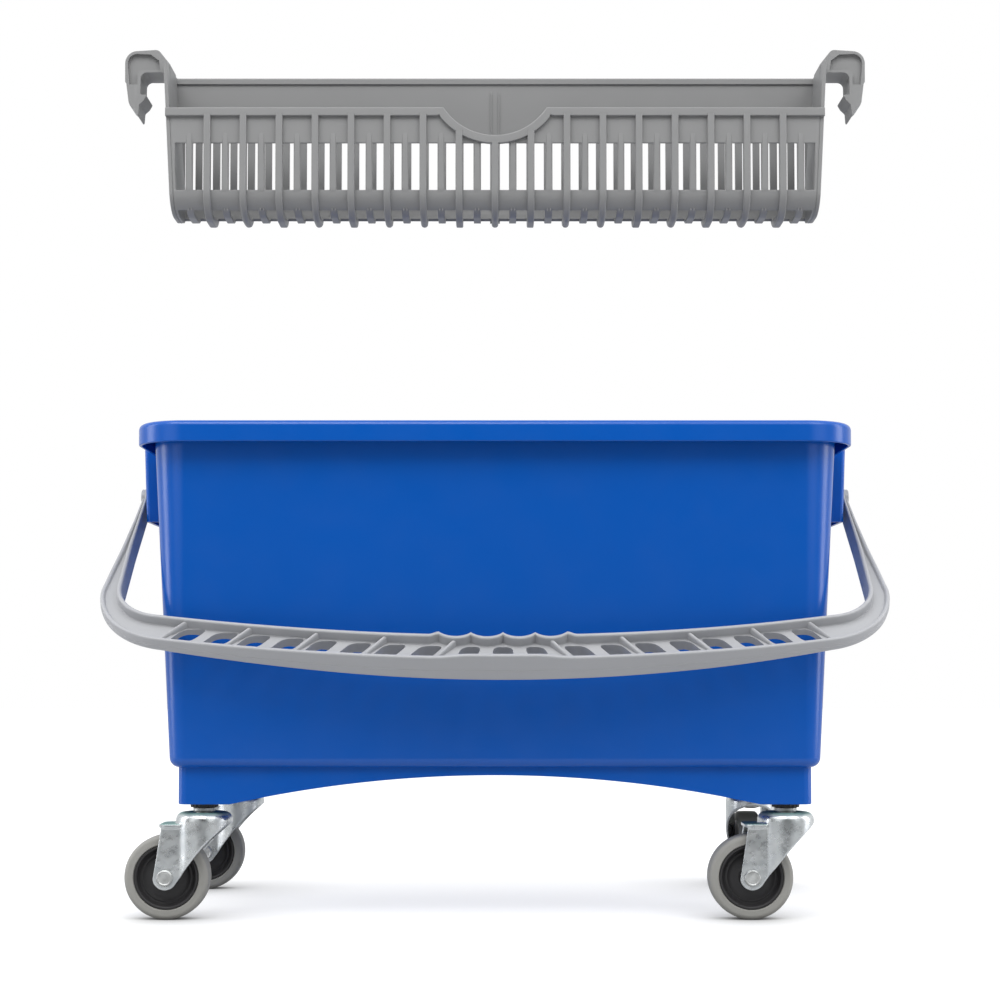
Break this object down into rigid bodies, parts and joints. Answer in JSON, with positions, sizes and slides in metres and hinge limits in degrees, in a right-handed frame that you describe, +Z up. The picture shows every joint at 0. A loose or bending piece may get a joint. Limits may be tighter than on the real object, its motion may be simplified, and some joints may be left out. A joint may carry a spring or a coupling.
{
  "type": "wheeled cleaning bucket",
  "caption": "Rectangular cleaning bucket on swivel castors, with a bail handle that swings over the tub and a slotted drip basket that hooks over the rim.",
  "frame": {"origin": "on the floor, in the middle of the area the whole object covers at rest", "axes": "+X along the bucket's length, -Y towards the side the handle hangs on, +Z up"},
  "size_m": [0.561, 0.3044, 0.623],
  "materials": {
    "blue_plastic": "satin injection-moulded polypropylene, mid blue",
    "light_grey_plastic": "moulded polypropylene, light grey",
    "grey_plastic": "moulded polypropylene, mid grey",
    "black_plastic": "moulded black polyamide",
    "zinc_plate": "bright zinc plate with a faint blue-green passivation",
    "bright_steel": "bright steel",
    "grey_tread": "grey thermoplastic rubber, non-marking"
  },
  "bodies": {
    "bucket": {"bucket_shell": "blue_plastic", "stem_front_left": "bright_steel", "stem_front_right": "bright_steel", "stem_rear_left": "bright_steel", "stem_rear_right": "bright_steel", "stem_socket_front_left": "black_plastic", "stem_socket_front_right": "black_plastic", "stem_socket_rear_left": "black_plastic", "stem_socket_rear_right": "black_plastic"},
    "handle": {"handle": "light_grey_plastic"},
    "basket": {"basket": "grey_plastic"},
    "swivel_front_left": {"fork_front_left": "zinc_plate", "ball_race_front_left": "bright_steel", "axle_rivet_front_left": "bright_steel"},
    "wheel_front_left": {"wheel_hub_front_left": "black_plastic", "tread_front_left": "grey_tread"},
    "swivel_front_right": {"fork_front_right": "zinc_plate", "ball_race_front_right": "bright_steel", "axle_rivet_front_right": "bright_steel"},
    "wheel_front_right": {"wheel_hub_front_right": "black_plastic", "tread_front_right": "grey_tread"},
    "swivel_rear_left": {"fork_rear_left": "zinc_plate", "ball_race_rear_left": "bright_steel", "axle_rivet_rear_left": "bright_steel"},
    "wheel_rear_left": {"wheel_hub_rear_left": "black_plastic", "tread_rear_left": "grey_tread"},
    "swivel_rear_right": {"fork_rear_right": "zinc_plate", "ball_race_rear_right": "bright_steel", "axle_rivet_rear_right": "bright_steel"},
    "wheel_rear_right": {"wheel_hub_rear_right": "black_plastic", "tread_rear_right": "grey_tread"}
  },
  "joints": [
    {"name": "handle_swing", "type": "hinge", "parent": "bucket", "child": "handle", "pos_m": [0, 0.00864, 0.308], "axis": [-1, 0, 0], "range_deg": [0, 256]},
    {"name": "basket_lift", "type": "slide", "parent": "bucket", "child": "basket", "axis": [0, 0, 1], "range_m": [-0.2565, 0]},
    {"name": "swivel_front_left", "type": "hinge", "parent": "bucket", "child": "swivel_front_left", "pos_m": [-0.207, -0.07935, 0.07], "axis": [0, 0, 1], "continuous": true},
    {"name": "wheel_front_left", "type": "hinge", "parent": "swivel_front_left", "child": "wheel_front_left", "pos_m": [-0.2326, -0.07935, 0.03], "axis": [0, 1, 0], "continuous": true},
    {"name": "swivel_front_right", "type": "hinge", "parent": "bucket", "child": "swivel_front_right", "pos_m": [0.207, -0.07935, 0.07], "axis": [0, 0, 1], "continuous": true},
    {"name": "wheel_front_right", "type": "hinge", "parent": "swivel_front_right", "child": "wheel_front_right", "pos_m": [0.1814, -0.07935, 0.03], "axis": [0, 1, 0], "continuous": true},
    {"name": "swivel_rear_left", "type": "hinge", "parent": "bucket", "child": "swivel_rear_left", "pos_m": [-0.207, 0.09664, 0.07], "axis": [0, 0, 1], "continuous": true},
    {"name": "wheel_rear_left", "type": "hinge", "parent": "swivel_rear_left", "child": "wheel_rear_left", "pos_m": [-0.2326, 0.09664, 0.03], "axis": [0, 1, 0], "continuous": true},
    {"name": "swivel_rear_right", "type": "hinge", "parent": "bucket", "child": "swivel_rear_right", "pos_m": [0.207, 0.09664, 0.07], "axis": [0, 0, 1], "continuous": true},
    {"name": "wheel_rear_right", "type": "hinge", "parent": "swivel_rear_right", "child": "wheel_rear_right", "pos_m": [0.207, 0.12225, 0.03], "axis": [1, 0, 0], "continuous": true}
  ]
}
